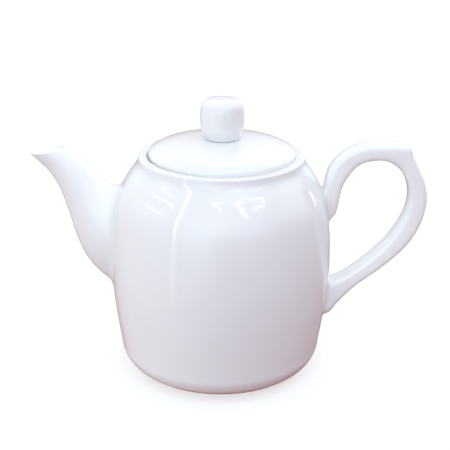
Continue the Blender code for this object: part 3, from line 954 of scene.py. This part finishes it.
# ================================================================ camera and light
def make_camera():
    """The camera, where the photo was taken from."""
    data = bpy.data.cameras.new("camera")
    camera = new_object("camera", data)
    place = Vector((POT_X, POT_Y - CAMERA_BACK * MM, CAMERA_UP * MM))
    aim = Vector((POT_X + AIM_RIGHT * MM, POT_Y, AIM_UP * MM))
    turn = (aim - place).to_track_quat("-Z", "Y").to_matrix().to_4x4()
    camera.matrix_world = Matrix.Translation(place) @ turn @ Matrix.Rotation(math.radians(CAMERA_ROLL), 4, "Z")
    data.lens = LENS
    data.sensor_width = SENSOR
    data.clip_start, data.clip_end = CLIP
    bpy.context.scene.camera = camera


def from_angles(azimuth, elevation):
    """The direction towards a light, from its angles in degrees."""
    turn, rise = math.radians(azimuth), math.radians(elevation)
    return (math.sin(turn) * math.cos(rise), -math.cos(turn) * math.cos(rise), math.sin(rise))


def facing(tree, where, direction):
    """How far each direction of the world points towards a given one: its cosine."""
    node = add_node(tree, "ShaderNodeVectorMath", operation="DOT_PRODUCT")
    tree.links.new(where, node.inputs[0])
    node.inputs[1].default_value = direction
    return node.outputs["Value"]


def add_light(tree, total, strength, colour):
    """The light so far, and a colour times a strength socket."""
    node = add_node(tree, "ShaderNodeVectorMath", operation="MULTIPLY_ADD")
    tree.links.new(strength, node.inputs[0])
    node.inputs[1].default_value = colour
    tree.links.new(total, node.inputs[2])
    return node.outputs["Vector"]


def make_world():
    """Soft light from all round: wide lights, large soft ones, and plain white for the camera."""
    world = bpy.data.worlds.new("studio")
    bpy.context.scene.world = world
    world.use_nodes = True
    tree = world.node_tree
    where = add_node(tree, "ShaderNodeTexCoord").outputs["Generated"]
    start = add_node(tree, "ShaderNodeCombineXYZ")
    for key, value in zip("XYZ", AMBIENT):
        start.inputs[key].default_value = value
    total = start.outputs["Vector"]
    for direction, colour in WIDE_LIGHTS:
        total = add_light(tree, total, combine(tree, "MAXIMUM", facing(tree, where, direction), 0.0), colour)
    for azimuth, elevation, tightness, colour in SOFT_LIGHTS.values():
        cosine = facing(tree, where, from_angles(azimuth, elevation))
        fall = combine(tree, "MULTIPLY", combine(tree, "SUBTRACT", cosine, 1.0), float(tightness))
        total = add_light(tree, total, combine(tree, "EXPONENT", fall, 0.0), colour)
    seen = add_node(tree, "ShaderNodeLightPath").outputs["Is Camera Ray"]
    shown = add_node(tree, "ShaderNodeMix", data_type="RGBA")
    tree.links.new(seen, shown.inputs["Factor"])
    tree.links.new(total, shown.inputs["A"])
    shown.inputs["B"].default_value = (*BACKDROP, 1.0)
    tree.links.new(shown.outputs["Result"], tree.nodes["Background"].inputs["Color"])


def new_light(name, kind):
    """A light that the camera doesn't see."""
    light = new_object(name, bpy.data.lights.new(name, kind))
    light.visible_camera = False
    return light


def make_streak(name, azimuth, elevation, end_azimuth, end_elevation, width, radiance):
    """A narrow area light between two directions as seen from the pot, which shows in reflections alone."""
    ends = [Vector(from_angles(azimuth, elevation)), Vector(from_angles(end_azimuth, end_elevation))]
    ends = [end * STREAK_DISTANCE for end in ends]
    away = (ends[0] + ends[1]).normalized()
    along = (ends[1] - ends[0]).normalized()
    across = away.cross(along)
    light = new_light(name, "AREA")
    light.visible_diffuse = False
    data = light.data
    data.shape = "RECTANGLE"
    data.size = (ends[1] - ends[0]).length
    data.size_y = STREAK_DISTANCE * math.radians(width)
    data.energy = radiance * math.pi * data.size * data.size_y
    turn = Matrix((along, across, away)).transposed().to_4x4()
    middle = Vector((POT_X, POT_Y, STREAK_AIM * MM)) + (ends[0] + ends[1]) / 2
    light.matrix_world = Matrix.Translation(middle) @ turn


def make_patch(name, piece, middle, radius, angles, added):
    """A patch of light on one piece alone, which adds to its shade and draws no highlight."""
    aim = Vector((POT_X + middle[0] * MM, POT_Y, middle[1] * MM))
    away = Vector(from_angles(*angles))
    light = new_light(name, "SPOT")
    light.visible_glossy = False
    data = light.data
    data.energy = added * 4 * math.pi**2 * PATCH_DISTANCE**2
    data.spot_size = 2 * math.atan(radius * MM / PATCH_DISTANCE)
    data.spot_blend = 1.0
    data.color = PATCH_COLOUR
    data.shadow_soft_size = PATCH_SOFTNESS
    turn = (-away).to_track_quat("-Z", "Y").to_matrix().to_4x4()
    light.matrix_world = Matrix.Translation(aim + away * PATCH_DISTANCE) @ turn
    group = bpy.data.collections.new(name)
    group.objects.link(bpy.data.objects[piece])
    light.light_linking.receiver_collection = group


def make_glow():
    """The light that comes through the spout's thin wall and shows inside its mouth."""
    light = new_light("glow in spout", "POINT")
    light.visible_glossy = False
    light.data.energy = GLOW_POWER
    light.data.shadow_soft_size = GLOW_SIZE * MM
    light.location = (POT_X + GLOW_PLACE[0] * MM, POT_Y, GLOW_PLACE[1] * MM)


def make_studio():
    """The floor, the world and the lights."""
    bpy.ops.mesh.primitive_circle_add(
        vertices=FLOOR_SIDES, radius=FLOOR_RADIUS, fill_type="NGON", location=(0, 0, 0),
    )
    floor = bpy.context.object
    floor.name = "studio_floor"
    floor.data.materials.append(floor_material())
    make_world()
    for name, streak in STREAKS.items():
        make_streak(name, *streak)
    for name, patch in PATCHES.items():
        make_patch(name, *patch)
    make_glow()
    bpy.context.scene.view_settings.view_transform = "Standard"


def main():
    """The pieces, the camera and the studio."""
    glaze = glaze_material()
    roots = np.concatenate([make_spout(glaze), make_handle(glaze)])
    make_pot(glaze, roots)
    make_lid(glaze)
    make_knob(glaze)
    make_camera()
    make_studio()


main()
